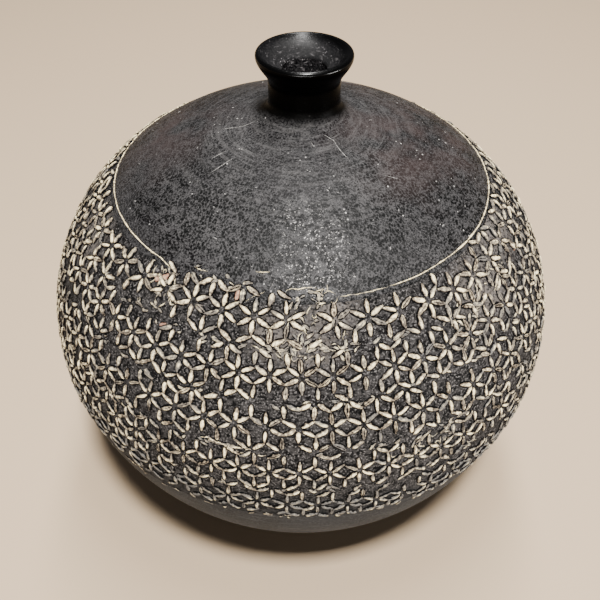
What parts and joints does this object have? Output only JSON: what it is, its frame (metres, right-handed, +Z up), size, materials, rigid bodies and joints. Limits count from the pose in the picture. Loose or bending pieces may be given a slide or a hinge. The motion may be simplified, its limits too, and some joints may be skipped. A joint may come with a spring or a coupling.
{
  "type": "clay pot",
  "caption": "Round-bellied black clay pot with a small flared neck, a plain burnished shoulder and a raised lattice of petals over its belly; holds dry stems or stands as an ornament.",
  "frame": {"origin": "centre of the flat base, on the surface the pot stands on", "axes": "+Z up along the pot's turning axis; the side seen from the front faces -Y"},
  "size_m": [0.3598, 0.3598, 0.3668],
  "materials": {
    "bare_clay": "dull fired clay, worn",
    "grey_wash": "matte grey-brown wash over black",
    "stamped_slip": "cream slip on raised petals over matte charcoal, rubbed and scratched",
    "matte_black": "matte charcoal, burnished in rings, speckled",
    "glossy_black": "glossy near-black"
  },
  "bodies": {
    "root": {"base_saucer": "bare_clay", "lower_bowl": "grey_wash", "belly_wall_lower": "stamped_slip", "belly_wall_middle": "stamped_slip", "belly_wall_upper": "stamped_slip", "shoulder_dome": "matte_black", "neck_collar": "glossy_black", "lip_ring": "glossy_black"}
  },
  "joints": []
}
